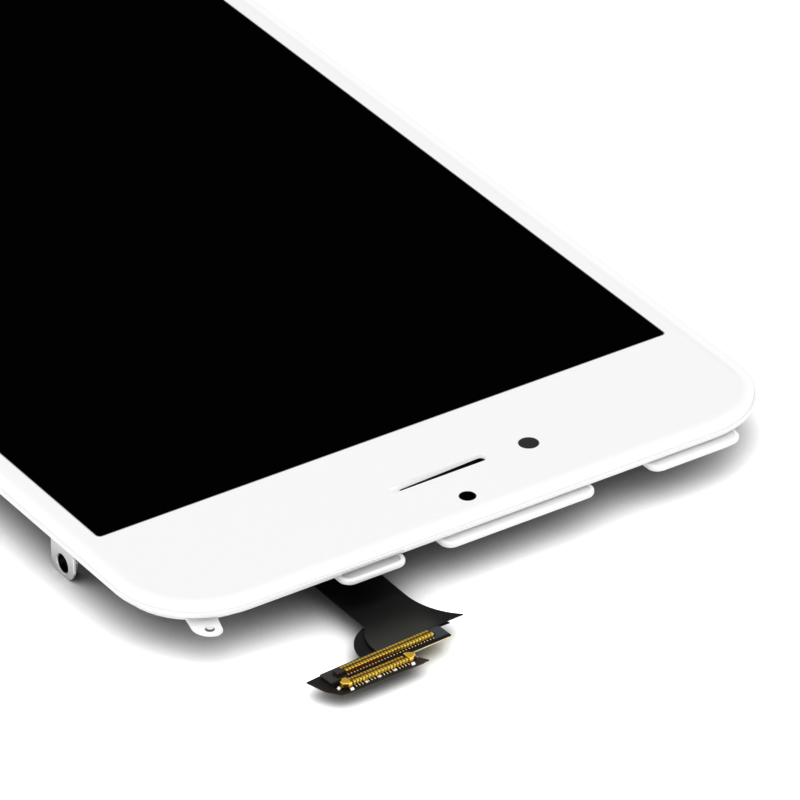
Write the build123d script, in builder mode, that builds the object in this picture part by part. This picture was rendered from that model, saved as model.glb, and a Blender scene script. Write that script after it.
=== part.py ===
from build123d import *
import math
import os

# Screen assembly of a slab phone: cover glass, moulded frame, display stack,
# backlight and two flexible circuits. It lies screen up on the ears of its
# side brackets. Millimetres. X runs across the screen, +Y towards the
# earpiece end, +Z out of the screen. The origin is the middle of the cover
# glass's front face.

# Level of the surface that the ears stand on
foot_level = -4.70

# Cover glass
glass_width = 64.46
glass_length = 135.30
glass_thickness = 0.60
glass_corner = 8.07
edge_drop = 0.28
edge_run = 0.95
edge_blend = 0.65

# Display window in the white border, and the small windows beside it
side_border = 2.58
end_border = 15.25
window_corner = 0.45
camera_x = -9.33
camera_from_end = 7.20
camera_window_radius = 0.93
sensor_x = -0.17
sensor_from_end = 3.12
sensor_window_radius = 0.77
slot_from_end = 7.49
slot_length = 9.90
slot_width = 0.97
button_from_end = 7.85
button_radius = 5.50

# Border print and the strip that bonds the glass to the frame
print_thickness = 0.03
print_margin = 0.20
slot_clearance = 0.02
bond_thickness = 0.07
bond_margin = 0.15

# Bezel frame
rim_gap = 0.012
rim_wall = 0.218
rim_below_glass_top = 0.38
rim_rounding = 0.45
flange_thickness = 0.30
wall_depth = 0.90
wall_thickness = 0.50
side_land = 1.66
end_land = 2.08
opening_corner = 6.40
rib_width = 1.10
ledge_room = 1.10

# Long hooks along the earpiece end. Each is given by the place of its middle,
# as a share of the frame's width, its length and the depth of its groove. The
# first is beside the flexes. The last one runs into the frame's corner, so its
# middle is given as the distance in from the frame's side
long_hooks = [(0.1818, 6.60, 0.28), (-0.0489, 15.85, 0.10)]
turning_hook = (10.7378, 9.65, 0.08)
hook_reach = 0.78
hook_top_drop = 1.12
hook_thickness = 0.54
hook_lip = 0.42
hook_lip_rounding = 0.10
hook_corner = 1.10
hook_rounding = 0.20
hook_root = 4.16

# Small hook near the corner: a thin tongue. The points of its outline are
# distances in from the frame's side and out from its end
corner_hook_drop = 1.40
corner_hook_thickness = 0.36
corner_hook_side = 4.33
corner_hook_bend = (3.19, -1.30)
corner_hook_belly = (3.48, 0.02)
corner_hook_tip = (4.63, 0.74)
corner_hook_nose = (5.22, 0.52)
corner_hook_lean = 0.33
corner_hook_nose_rounding = 0.35
corner_hook_rounding = 0.10
corner_hook_root = 6.0
pin_mark = (4.28, -0.12)
pin_mark_radius = 0.40
pin_mark_depth = 0.12

# Hollow in the rim over the hook beside the flexes
relief_inset = 0.15
relief_depth = 0.13
relief_run = 0.39
relief_lip = 0.065

# Side brackets
bracket_sheet = 0.30
bracket_length = 8.0
bracket_depth = 0.70
ear_width = 3.70
ear_corner = 1.30
ear_rounding = 0.07
ear_from_end = 18.33
ear_hole_height = 1.21
thread_radius = 0.84
thread_chamfer = 0.14
boss_radius = 1.15
boss_length = 0.60

# Display stack
module_clearance = 0.10
panel_side_gap = 0.25
panel_end_gap = 0.10
adhesive_thickness = 0.12
touch_thickness = 0.15
polarizer_thickness = 0.10
filter_thickness = 0.15
tft_thickness = 0.15
panel_overlap = 0.90
bond_shelf = 1.00
ledge_length = 2.70
polarizer_inset = 0.20

# Driver chip on the ledge
chip_length = 18.0
chip_width = 1.10
chip_thickness = 0.22
chip_x = -3.0
chip_from_filter = 0.40

# Backlight
prism_thickness = 0.06
diffuser_thickness = 0.06
guide_thickness = 0.42
reflector_thickness = 0.06
tray_sheet = 0.15
tray_wall_height = 1.01
tray_corner = 0.60
mould_gap = 0.03
mould_wall = 0.57
mould_end_wall = 0.42
film_gap = 0.05
led_count = 10
led_width = 2.60
led_depth = 1.20
led_side_margin = 3.40
led_strip_thickness = 0.08
guide_past_window = 0.70
led_gap = 0.05

# Small rings behind the border
camera_ring_radius = 1.80
camera_ring_bore = 1.05
camera_ring_height = 0.90
sensor_ring_radius = 1.15
sensor_ring_height = 0.60
gasket_length = 13.2
gasket_width = 3.10
gasket_height = 0.35
mesh_margin = 0.12
mesh_thickness = 0.08
mesh_hole = 0.28
mesh_pitch = 0.44
mesh_columns = 20
mesh_rows = 3

# Flexible circuits
flex_thickness = 0.12
stiffener_thickness = 0.15
layer_gap = 0.03
touch_flex_level = -3.05
tail_x_low = 10.20
tail_x_high = 15.87
tail_level_inside = 6.68
tail_bend = 1.20
display_tail_inset = 0.30
back_x_low = -13.0
back_x_high = 16.5
back_spread = 12.35
fold_x_high = 9.50
fold_bond = 0.80
tape_thickness = 0.05
tape_margin = 0.50

# Touch flex outline. Its second coordinates are distances beyond the frame's
# end
wing_tip = (7.78, 7.80)
wing_start = 2.62
wing_notch = 0.70
wing_rise = 0.10
neck_left_x = 17.00
neck_start = 4.87
touch_board_middle = (16.60, 9.31)
touch_board_yaw = 3.5
touch_board_length = 12.40
touch_board_width = 1.90
touch_board_shift = (0.05, -0.04)

# Display flex outline, given the same way. The last points are on its
# connector board, along and across the rows of contacts
bulge_start = 4.42
bulge_middle = (17.40, 5.57)
bulge_end = (18.42, 8.02)
inner_wing_tip = (9.20, 7.84)
display_board_middle = (18.50, 10.84)
display_board_yaw = 2.6
display_board_tip = (5.64, -2.43)
display_board_shoulder = (5.14, -0.40)
display_board_cut = (4.34, 0.72)
display_board_near = 0.96
display_board_bevel = 0.64
display_board_end = -4.66
display_board_back = -4.10
display_stiffener_length = 8.40
display_stiffener_width = 1.70
stiffener_margin = 0.04

# Board to board connectors
contact_pitch = 0.32
contact_width = 0.22
contact_sheet = 0.08
contact_height = 0.45
contact_top = 0.28
contact_foot = 0.20
contact_bend = 0.06
row_margin = 0.24
ridge_half_width = 0.30
housing_end = 0.70
plain_end = 0.13
touch_contacts = 29
display_contacts = 18

# Hold-downs over the ends of the display connector, and their solder
hold_down_length = 0.80
hold_down_sheet = 0.10
hold_down_leg = 0.38
hold_down_foot = 0.16
hold_down_past_housing = 0.02
hold_down_notch = 0.28
hold_down_rounding = 0.06
solder_width = 0.34
solder_reach = 0.20
solder_height = 0.16

# Heights that follow from the layers, from the glass down
glass_low = -glass_thickness
print_low = glass_low - print_thickness
flange_top = print_low - bond_thickness
flange_low = flange_top - flange_thickness
wall_low = flange_low - wall_depth
adhesive_low = print_low - adhesive_thickness
touch_low = adhesive_low - touch_thickness
front_polarizer_low = touch_low - polarizer_thickness
filter_low = front_polarizer_low - filter_thickness
tft_low = filter_low - tft_thickness
rear_polarizer_low = tft_low - polarizer_thickness
upper_prism_low = rear_polarizer_low - prism_thickness
lower_prism_low = upper_prism_low - prism_thickness
diffuser_low = lower_prism_low - diffuser_thickness
guide_low = diffuser_low - guide_thickness
reflector_low = guide_low - reflector_thickness
tray_low = reflector_low - tray_sheet
display_flex_level = touch_flex_level - flex_thickness - stiffener_thickness - layer_gap

# Plan sizes that follow from the glass
window_width = glass_width - 2 * side_border
window_length = glass_length - 2 * end_border
camera_y = glass_length / 2 - camera_from_end
sensor_y = glass_length / 2 - sensor_from_end
slot_y = glass_length / 2 - slot_from_end
frame_width = glass_width + 2 * (rim_gap + rim_wall)
frame_length = glass_length + 2 * (rim_gap + rim_wall)
frame_end = frame_length / 2
frame_corner = glass_corner + rim_gap + rim_wall
opening_width = frame_width - 2 * side_land
opening_end = frame_end - end_land
module_width = opening_width - 2 * module_clearance
window_end = window_length / 2
panel_width = module_width - 2 * (tray_sheet + panel_side_gap)
panel_end = window_end + panel_overlap
tft_end = panel_end + ledge_length
tray_end = tft_end + tray_sheet + panel_end_gap
tray_foot = -panel_end - tray_sheet - panel_end_gap
fold_start = tray_end + module_clearance
rib_y = tray_end + ledge_room
foot_rib_y = tray_foot - module_clearance
back_y_low = fold_start - back_spread
tail_level_from = frame_end - tail_level_inside
wall_plan = (
    opening_width + 2 * wall_thickness,
    2 * (opening_end + wall_thickness),
    opening_corner + wall_thickness,
)
ear_plane = opening_width / 2 + wall_thickness + bracket_sheet
ear_pitch = frame_end - ear_from_end
ear_hole_level = foot_level + ear_hole_height


def write(part, name):
    """Name a finished piece and write its file."""
    part.label = name
    export_step(part, f"parts/{name}.step")


def layer(name, width, y_low, y_high, z_low, thickness, corner):
    """A flat layer of the stack with rounded corners."""
    middle = (y_low + y_high) / 2
    with BuildPart() as sheet:
        with BuildSketch(Plane((0, middle, z_low))):
            RectangleRounded(width, y_high - y_low, corner)
        extrude(amount=thickness)
    write(sheet.part, name)


def ring(name, x, y, outer, bore, z_high, height):
    """A round collar that hangs from the back of the border."""
    with BuildPart() as collar:
        with BuildSketch(Plane((x, y, z_high - height))):
            Circle(outer)
            Circle(bore, mode=Mode.SUBTRACT)
        extrude(amount=height)
    write(collar.part, name)


os.makedirs("parts", exist_ok=True)

# Cover glass: one sheet with a curved front edge, a slot for the earpiece
# and a round hole for the button
button_y = -glass_length / 2 + button_from_end
with BuildPart() as cover_glass:
    with BuildSketch(Plane.XY.offset(glass_low)):
        RectangleRounded(glass_width, glass_length, glass_corner)
    extrude(amount=glass_thickness)
    front_edges = cover_glass.faces().sort_by(Axis.Z)[-1].edges()
    front_face = cover_glass.faces().sort_by(Axis.Z)[-1]
    chamfer(front_edges, length=edge_run, length2=edge_drop, reference=front_face)
    soft_edges = cover_glass.faces().sort_by(Axis.Z)[-1].edges()
    slope_angle = math.atan2(edge_drop, edge_run)
    blend_reach = min(edge_blend, 0.8 * math.hypot(edge_run, edge_drop))
    fillet(soft_edges, radius=blend_reach / math.tan(slope_angle / 2))
    with BuildSketch(Plane.XY.offset(glass_low)):
        with Locations((0, slot_y)):
            SlotOverall(slot_length, slot_width)
        with Locations((0, button_y)):
            Circle(button_radius)
    extrude(amount=glass_thickness, mode=Mode.SUBTRACT)
write(cover_glass.part, "cover_glass")

# White border, printed on the back of the glass
print_width = glass_width - 2 * print_margin
print_length = glass_length - 2 * print_margin
with BuildPart() as border_print:
    with BuildSketch(Plane.XY.offset(print_low)):
        RectangleRounded(print_width, print_length, glass_corner - print_margin)
        RectangleRounded(window_width, window_length, window_corner, mode=Mode.SUBTRACT)
        with Locations((camera_x, camera_y)):
            Circle(camera_window_radius, mode=Mode.SUBTRACT)
        with Locations((sensor_x, sensor_y)):
            Circle(sensor_window_radius, mode=Mode.SUBTRACT)
        with Locations((0, slot_y)):
            SlotOverall(slot_length + slot_clearance, slot_width + slot_clearance, mode=Mode.SUBTRACT)
        with Locations((0, button_y)):
            Circle(button_radius + print_margin, mode=Mode.SUBTRACT)
    extrude(amount=print_thickness)
write(border_print.part, "border_print")

# Dark print that fills the sensor window
with BuildPart() as sensor_window:
    with BuildSketch(Plane((sensor_x, sensor_y, print_low))):
        Circle(sensor_window_radius)
    extrude(amount=print_thickness)
write(sensor_window.part, "sensor_window")


def frame_openings(extra=0.0):
    """The display opening and the two pockets beyond it, seen from above."""
    width = opening_width + 2 * extra
    end = opening_end + extra
    pocket_low = rib_y + rib_width - extra
    foot_high = foot_rib_y - rib_width + extra
    display_low = foot_rib_y - extra
    display_high = rib_y + extra
    with BuildSketch() as openings:
        RectangleRounded(width, 2 * end, opening_corner + extra)
        with Locations((0, (display_high + pocket_low) / 2)):
            Rectangle(width, pocket_low - display_high, mode=Mode.SUBTRACT)
        with Locations((0, (display_low + foot_high) / 2)):
            Rectangle(width, display_low - foot_high, mode=Mode.SUBTRACT)
    return openings.sketch


# Closed strip of adhesive between the border and the frame
with BuildPart() as frame_bond:
    with BuildSketch(Plane.XY.offset(flange_top)):
        RectangleRounded(
            glass_width - 2 * bond_margin,
            glass_length - 2 * bond_margin,
            glass_corner - bond_margin,
        )
        add(frame_openings(bond_margin), mode=Mode.SUBTRACT)
    extrude(amount=bond_thickness)
write(frame_bond.part, "frame_bond")


def hook_outline(x_low, x_high):
    """Plan of a long hook, from inside the frame to its rounded front."""
    with BuildSketch() as outline:
        with Locations(((x_low + x_high) / 2, frame_end)):
            Rectangle(x_high - x_low, 2 * hook_root)
        RectangleRounded(
            frame_width + 2 * hook_reach,
            frame_length + 2 * hook_reach,
            frame_corner + hook_reach,
            mode=Mode.INTERSECT,
        )
        front = outline.vertices().filter_by(lambda point: point.Y > frame_end - side_land / 2)
        ends = front.group_by(Axis.X)
        fillet(ends[0] + ends[-1], radius=hook_corner)
    return outline.sketch


def from_corner(point):
    """A plan point, given by its distances from the frame's side and end."""
    return (frame_width / 2 - point[0], frame_end + point[1])


def corner_hook_outline():
    """Plan of the small hook: one side bellied, the other leaning."""
    root_y = frame_end - corner_hook_root
    side_x = frame_width / 2 - corner_hook_side
    nose_x, nose_y = from_corner(corner_hook_nose)
    lean_x = nose_x - corner_hook_lean * (nose_y - root_y)
    with BuildSketch() as outline:
        with BuildLine():
            Line((side_x, root_y), from_corner(corner_hook_bend))
            ThreePointArc(
                from_corner(corner_hook_bend), from_corner(corner_hook_belly), from_corner(corner_hook_tip)
            )
            Line(from_corner(corner_hook_tip), (nose_x, nose_y))
            Line((nose_x, nose_y), (lean_x, root_y))
            Line((lean_x, root_y), (side_x, root_y))
        make_face()
        nose = outline.vertices().sort_by_distance((nose_x, nose_y, 0))[0]
        fillet(nose, radius=corner_hook_nose_rounding)
    return outline.sketch


def tongue(outline, top, thickness, rounding):
    """A flat tongue of the frame with rounded edges."""
    with BuildPart() as blade:
        with BuildSketch(Plane.XY.offset(top - thickness)):
            add(outline)
        extrude(amount=thickness)
        level_edges = blade.faces().filter_by(Axis.Z).edges()
        fillet(level_edges, radius=min(rounding, 0.4 * thickness))
        with BuildSketch(Plane.XY.offset(top - thickness)):
            RectangleRounded(opening_width, 2 * opening_end, opening_corner)
        extrude(amount=thickness, mode=Mode.SUBTRACT)
    return blade.part


def grooved_hook(x_low, x_high, groove):
    """A long hook with a groove behind its lip."""
    outline = hook_outline(x_low, x_high)
    with BuildPart() as hook:
        add(tongue(outline, -hook_top_drop, hook_thickness, hook_rounding))
        with BuildSketch(Plane.XY.offset(-hook_top_drop - groove)):
            offset(outline, amount=-hook_lip)
            RectangleRounded(*wall_plan, mode=Mode.SUBTRACT)
        extrude(amount=groove, mode=Mode.SUBTRACT)
        groove_edges = hook.faces().filter_by(Axis.Z).sort_by(Axis.Z)[-1].inner_wires()[0].edges()
        lip_edges = groove_edges.filter_by(lambda edge: edge.center().Y > frame_end - side_land / 2)
        fillet(lip_edges, radius=min(hook_lip_rounding, 0.6 * groove))
    return hook.part


# Bezel frame: a thin rim round the glass, a flange under it, an inner wall
# that locates the display module, two ribs and the hooks
rim_top = -rim_below_glass_top
with BuildPart() as bezel_frame:
    with BuildSketch(Plane.XY.offset(flange_low)):
        RectangleRounded(frame_width, frame_length, frame_corner)
    extrude(amount=rim_top - flange_low)
    outer_low_edges = bezel_frame.faces().sort_by(Axis.Z)[0].edges()
    fillet(outer_low_edges, radius=rim_rounding)
    with BuildSketch(Plane.XY.offset(flange_top)):
        RectangleRounded(
            glass_width + 2 * rim_gap,
            glass_length + 2 * rim_gap,
            glass_corner + rim_gap,
        )
    extrude(amount=rim_top - flange_top, mode=Mode.SUBTRACT)
    with BuildSketch(Plane.XY.offset(flange_low)):
        add(frame_openings())
    extrude(amount=flange_thickness, mode=Mode.SUBTRACT)
    with BuildSketch(Plane.XY.offset(wall_low)):
        RectangleRounded(*wall_plan)
        RectangleRounded(opening_width, 2 * opening_end, opening_corner, mode=Mode.SUBTRACT)
    extrude(amount=wall_depth)
    # The rim is hollowed a little over the hook beside the flexes
    relief_share, relief_hook_length = long_hooks[0][:2]
    relief_length = relief_hook_length - 2 * relief_inset
    with BuildSketch(Plane.YZ.offset(relief_share * frame_width - relief_length / 2)):
        with BuildLine():
            Polyline(
                (frame_end + relief_depth, rim_top - relief_lip),
                (frame_end, rim_top - relief_lip),
                (frame_end - relief_depth, flange_top),
                (frame_end - relief_run, flange_low),
                (frame_end + relief_depth, flange_low),
                close=True,
            )
        make_face()
    extrude(amount=relief_length, mode=Mode.SUBTRACT)
    hooks = [(share * frame_width, length, groove) for share, length, groove in long_hooks]
    from_side, turning_length, turning_groove = turning_hook
    hooks.append((from_side - frame_width / 2, turning_length, turning_groove))
    for hook_middle, length, groove in hooks:
        add(grooved_hook(hook_middle - length / 2, hook_middle + length / 2, groove))
    add(tongue(corner_hook_outline(), -corner_hook_drop, corner_hook_thickness, corner_hook_rounding))
    # Round mark that a mould pin leaves in the small hook
    with BuildSketch(Plane.XY.offset(-corner_hook_drop)):
        with Locations(from_corner(pin_mark)):
            Circle(pin_mark_radius)
    extrude(amount=-pin_mark_depth, mode=Mode.SUBTRACT)
write(bezel_frame.part, "bezel_frame")


def side_bracket(name, side, y):
    """Pressed bracket on the frame's wall, with one threaded ear below."""
    ear_outer = side * ear_plane
    ear_inner = side * (ear_plane - bracket_sheet)
    with BuildPart() as bracket:
        with BuildSketch(Plane.YZ.offset(min(ear_outer, ear_inner))) as face:
            with Locations((y, flange_low - bracket_depth / 2)):
                Rectangle(bracket_length, bracket_depth)
            with Locations((y, (flange_low + foot_level) / 2)):
                Rectangle(ear_width, flange_low - foot_level)
            low_corners = face.vertices().group_by(Axis.Y)[0]
            fillet(low_corners, radius=ear_corner)
        extrude(amount=bracket_sheet)
        fillet(bracket.faces().filter_by(Axis.X).edges(), radius=min(ear_rounding, 0.4 * bracket_sheet))
        inward = Plane(origin=(ear_inner, y, ear_hole_level), x_dir=(0, 1, 0), z_dir=(-side, 0, 0))
        with BuildSketch(inward):
            Circle(boss_radius)
        extrude(amount=boss_length)
        outward = Plane(origin=(ear_outer, y, ear_hole_level), x_dir=(0, 1, 0), z_dir=(side, 0, 0))
        with BuildSketch(outward):
            Circle(thread_radius)
        extrude(amount=-(bracket_sheet + boss_length), mode=Mode.SUBTRACT)
        mouth = (
            bracket.edges()
            .filter_by(GeomType.CIRCLE)
            .filter_by(lambda edge: abs(edge.arc_center.X - ear_outer) < bracket_sheet / 2)
            .filter_by(lambda edge: abs(edge.radius - thread_radius) < thread_chamfer)
        )
        chamfer(mouth, length=thread_chamfer)
    write(bracket.part, name)


for side, side_name in ((1, "right"), (-1, "left")):
    for y, place in ((ear_pitch, "upper"), (0.0, "middle"), (-ear_pitch, "lower")):
        side_bracket(f"{side_name}_{place}_bracket", side, y)

# Clear adhesive between glass and touch sensor, with a raised field that
# fills the window in the border
with BuildPart() as optical_adhesive:
    with BuildSketch(Plane.XY.offset(adhesive_low)):
        RectangleRounded(panel_width, 2 * panel_end, tray_corner)
    extrude(amount=adhesive_thickness)
    with BuildSketch(Plane.XY.offset(print_low)):
        RectangleRounded(window_width, window_length, window_corner)
    extrude(amount=print_thickness)
write(optical_adhesive.part, "optical_adhesive")

touch_end = panel_end + bond_shelf
film_width = module_width - 2 * (tray_sheet + mould_gap + mould_wall + film_gap)
film_end = window_end + panel_overlap - mould_end_wall + film_gap
guide_end = window_end + guide_past_window
polarizer_width = film_width - polarizer_inset
polarizer_end = film_end - polarizer_inset
layer("touch_sensor", panel_width, -panel_end, touch_end, touch_low, touch_thickness, tray_corner)
layer(
    "front_polarizer", panel_width - polarizer_inset, -panel_end + polarizer_inset,
    panel_end - polarizer_inset, front_polarizer_low, polarizer_thickness, tray_corner,
)
layer("colour_filter", panel_width, -panel_end, panel_end, filter_low, filter_thickness, tray_corner)
layer("tft_glass", panel_width, -panel_end, tft_end, tft_low, tft_thickness, tray_corner)
layer(
    "rear_polarizer", polarizer_width, -polarizer_end, polarizer_end,
    rear_polarizer_low, polarizer_thickness, tray_corner,
)

# Driver chip on the ledge of the lower panel glass
chip_y = panel_end + chip_from_filter + chip_width / 2
with BuildPart() as driver_chip:
    with BuildSketch(Plane((chip_x, chip_y, filter_low))):
        Rectangle(chip_length, chip_width)
    extrude(amount=chip_thickness)
write(driver_chip.part, "driver_chip")

# Backlight films and guide
layer("upper_prism_film", film_width, -film_end, guide_end, upper_prism_low, prism_thickness, tray_corner)
layer("lower_prism_film", film_width, -film_end, guide_end, lower_prism_low, prism_thickness, tray_corner)
layer("diffuser_film", film_width, -film_end, guide_end, diffuser_low, diffuser_thickness, tray_corner)
layer("light_guide", film_width, -film_end, guide_end, guide_low, guide_thickness, tray_corner)

# The leds shine into the guide's end, under a thin flexible strip
led_y = guide_end + led_gap + led_depth / 2
led_bay_end = led_y + led_depth / 2 + led_gap
layer("reflector_film", film_width, -film_end, led_bay_end, reflector_low, reflector_thickness, tray_corner)
first_led_x = led_side_margin + led_width / 2 - film_width / 2
led_pitch = -2 * first_led_x / (led_count - 1)
for index in range(led_count):
    with BuildPart() as led:
        with BuildSketch(Plane((first_led_x + index * led_pitch, led_y, guide_low))):
            Rectangle(led_width, led_depth)
        extrude(amount=guide_thickness)
    write(led.part, f"led_{index + 1:02d}")
strip_low_y = guide_end + led_gap
with BuildPart() as led_strip:
    with BuildSketch(Plane((0, (strip_low_y + led_bay_end) / 2, diffuser_low))):
        Rectangle(film_width, led_bay_end - strip_low_y)
    extrude(amount=led_strip_thickness)
write(led_strip.part, "led_strip")

# White moulded ring that holds the films and carries the panel
ring_width = module_width - 2 * (tray_sheet + mould_gap)
ring_foot = tray_foot + tray_sheet + mould_gap
ring_head = tray_end - tray_sheet - mould_gap
ring_middle = (ring_foot + ring_head) / 2
inner_foot = -film_end - film_gap
inner_head = led_bay_end + film_gap
with BuildPart() as backlight_frame:
    with BuildSketch(Plane.XY.offset(reflector_low)):
        with Locations((0, ring_middle)):
            RectangleRounded(ring_width, ring_head - ring_foot, tray_corner)
        with Locations((0, (inner_foot + inner_head) / 2)):
            RectangleRounded(
                film_width + 2 * film_gap, inner_head - inner_foot, tray_corner, mode=Mode.SUBTRACT
            )
    extrude(amount=tft_low - reflector_low)
write(backlight_frame.part, "backlight_frame")

# Pressed steel tray behind everything
with BuildPart() as backlight_tray:
    with BuildSketch(Plane((0, (tray_foot + tray_end) / 2, tray_low))):
        RectangleRounded(module_width, tray_end - tray_foot, tray_corner)
    extrude(amount=tray_wall_height)
    with BuildSketch(Plane((0, (tray_foot + tray_end) / 2, reflector_low))):
        RectangleRounded(
            module_width - 2 * tray_sheet, tray_end - tray_foot - 2 * tray_sheet, tray_corner - tray_sheet
        )
    extrude(amount=tray_wall_height, mode=Mode.SUBTRACT)
write(backlight_tray.part, "backlight_tray")

# Rings and the earpiece's gasket and mesh, bonded behind the border
ring("camera_ring", camera_x, camera_y, camera_ring_radius, camera_ring_bore, print_low, camera_ring_height)
ring("sensor_ring", sensor_x, sensor_y, sensor_ring_radius, sensor_window_radius, print_low, sensor_ring_height)
gasket_low = print_low - gasket_height
with BuildPart() as earpiece_gasket:
    with BuildSketch(Plane((0, slot_y, gasket_low))):
        RectangleRounded(gasket_length, gasket_width, gasket_width / 3)
        SlotOverall(slot_length + slot_clearance, slot_width + slot_clearance, mode=Mode.SUBTRACT)
    extrude(amount=gasket_height)
write(earpiece_gasket.part, "earpiece_gasket")
with BuildPart() as earpiece_mesh:
    with BuildSketch(Plane((0, slot_y, gasket_low - mesh_thickness))):
        RectangleRounded(gasket_length - 2 * mesh_margin, gasket_width - 2 * mesh_margin, gasket_width / 3)
        with GridLocations(mesh_pitch, mesh_pitch, mesh_columns, mesh_rows):
            Rectangle(mesh_hole, mesh_hole, mode=Mode.SUBTRACT)
    extrude(amount=mesh_thickness)
write(earpiece_mesh.part, "earpiece_mesh")


def beyond(point):
    """A plan point, given by its x and its distance beyond the frame's end."""
    return (point[0], frame_end + point[1])


def board_plane(centre, yaw, z):
    """Plane of a connector board: its X runs along the rows of contacts."""
    turn = math.radians(yaw)
    return Plane(
        origin=(centre[0], centre[1], z),
        x_dir=(math.cos(turn), math.sin(turn), 0),
        z_dir=(0, 0, 1),
    )


def on_board(centre, yaw, point):
    """A point given along and across a board, in the part's own plan."""
    place = board_plane(centre, yaw, 0).from_local_coords((point[0], point[1], 0))
    return (place.X, place.Y)


# Touch flex: bonded under the touch sensor, bent down past the module and
# level from there to its connector
touch_flex_low = touch_flex_level - flex_thickness
bond_mid = touch_low - flex_thickness / 2
touch_level_mid = touch_flex_level - flex_thickness / 2
descent_end = tail_level_from - tail_bend
wing_from = (tail_x_low, frame_end + wing_start)
wing_point = beyond(wing_tip)
wing_root = (tail_x_low + wing_notch, wing_point[1] + wing_rise)
neck_corner = (neck_left_x, wing_point[1])
neck_end = (neck_left_x, wing_point[1] + wing_notch)
neck_from = (tail_x_high, frame_end + neck_start)
touch_board_centre = beyond(touch_board_middle)
with BuildPart() as touch_flex:
    with BuildSketch(Plane.YZ.offset(tail_x_low)):
        with BuildLine():
            FilletPolyline(
                (panel_end + polarizer_inset, bond_mid),
                (fold_start, bond_mid),
                (descent_end, touch_level_mid),
                (tail_level_from, touch_level_mid),
                radius=tail_bend,
            )
        trace(line_width=flex_thickness)
    extrude(amount=tail_x_high - tail_x_low)
    with BuildSketch(Plane.XY.offset(touch_flex_low)):
        with BuildLine():
            Line((tail_x_low, tail_level_from), wing_from)
            TangentArc(wing_from, wing_point, tangent=(0, 1))
            Line(wing_point, wing_root)
            Line(wing_root, neck_end)
            Line(neck_end, neck_corner)
            TangentArc(neck_corner, neck_from, tangent=(0, -1))
            Line(neck_from, (tail_x_high, tail_level_from))
            Line((tail_x_high, tail_level_from), (tail_x_low, tail_level_from))
        make_face()
    extrude(amount=flex_thickness)
    with BuildSketch(board_plane(touch_board_centre, touch_board_yaw, touch_flex_low)):
        with Locations(touch_board_shift):
            Rectangle(touch_board_length, touch_board_width)
    extrude(amount=flex_thickness)
write(touch_flex.part, "touch_flex")

touch_stiffener_low = touch_flex_low - stiffener_thickness
with BuildPart() as touch_stiffener:
    with BuildSketch(board_plane(touch_board_centre, touch_board_yaw, touch_stiffener_low)):
        with Locations(touch_board_shift):
            Rectangle(touch_board_length - 2 * stiffener_margin, touch_board_width - 2 * stiffener_margin)
    extrude(amount=stiffener_thickness)
write(touch_stiffener.part, "touch_stiffener")

# Display flex: bonded on the ledge of the panel, folded round the end of
# the tray, spread over the tray's back and led out under the touch flex
display_flex_low = display_flex_level - flex_thickness
back_mid = tray_low - flex_thickness / 2
ledge_mid = filter_low + flex_thickness / 2
fold_mid = (back_mid + ledge_mid) / 2
fold_reach = (ledge_mid - back_mid) / 2
display_level_mid = display_flex_level - flex_thickness / 2
tail_low = tail_x_low + display_tail_inset
tail_high = tail_x_high - display_tail_inset
inner_wing_from = (tail_low, frame_end + wing_start)
inner_wing_point = beyond(inner_wing_tip)
inner_wing_root = (tail_low + wing_notch, inner_wing_point[1])
bulge_from = (tail_high, frame_end + bulge_start)
bulge_to = beyond(bulge_end)
display_board_centre = beyond(display_board_middle)
board_tip = on_board(display_board_centre, display_board_yaw, display_board_tip)
board_end = on_board(display_board_centre, display_board_yaw, (display_board_back, display_board_tip[1]))
with BuildPart() as display_flex:
    with BuildSketch(Plane.YZ.offset(back_x_low)):
        with BuildLine():
            Line((tft_end - fold_bond, ledge_mid), (fold_start, ledge_mid))
            ThreePointArc(
                (fold_start, ledge_mid), (fold_start + fold_reach, fold_mid), (fold_start, back_mid)
            )
            Line((fold_start, back_mid), (fold_start - fold_bond, back_mid))
        trace(line_width=flex_thickness)
    extrude(amount=fold_x_high - back_x_low)
    with BuildSketch(Plane.XY.offset(tray_low - flex_thickness)):
        with Locations(((back_x_low + back_x_high) / 2, (back_y_low + fold_start) / 2)):
            Rectangle(back_x_high - back_x_low, fold_start - back_y_low)
    extrude(amount=flex_thickness)
    with BuildSketch(Plane.YZ.offset(tail_low)):
        with BuildLine():
            FilletPolyline(
                (fold_start - tail_bend, back_mid),
                (fold_start, back_mid),
                (descent_end, display_level_mid),
                (tail_level_from, display_level_mid),
                radius=tail_bend,
            )
        trace(line_width=flex_thickness)
    extrude(amount=tail_high - tail_low)
    with BuildSketch(Plane.XY.offset(display_flex_low)):
        with BuildLine():
            Line((tail_low, tail_level_from), inner_wing_from)
            TangentArc(inner_wing_from, inner_wing_point, tangent=(0, 1))
            Line(inner_wing_point, inner_wing_root)
            Line(inner_wing_root, board_end)
            Line(board_end, board_tip)
            Line(board_tip, bulge_to)
            ThreePointArc(bulge_to, beyond(bulge_middle), bulge_from)
            Line(bulge_from, (tail_high, tail_level_from))
            Line((tail_high, tail_level_from), (tail_low, tail_level_from))
        make_face()
    extrude(amount=flex_thickness)
    with BuildSketch(board_plane(display_board_centre, display_board_yaw, display_flex_low)):
        with BuildLine():
            Polyline(
                display_board_tip,
                display_board_shoulder,
                display_board_cut,
                (display_board_cut[0] - display_board_bevel, display_board_near),
                (display_board_end, display_board_near),
                (display_board_back, 0),
                (display_board_back, display_board_tip[1]),
                close=True,
            )
        make_face()
    extrude(amount=flex_thickness)
write(display_flex.part, "display_flex")

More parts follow.
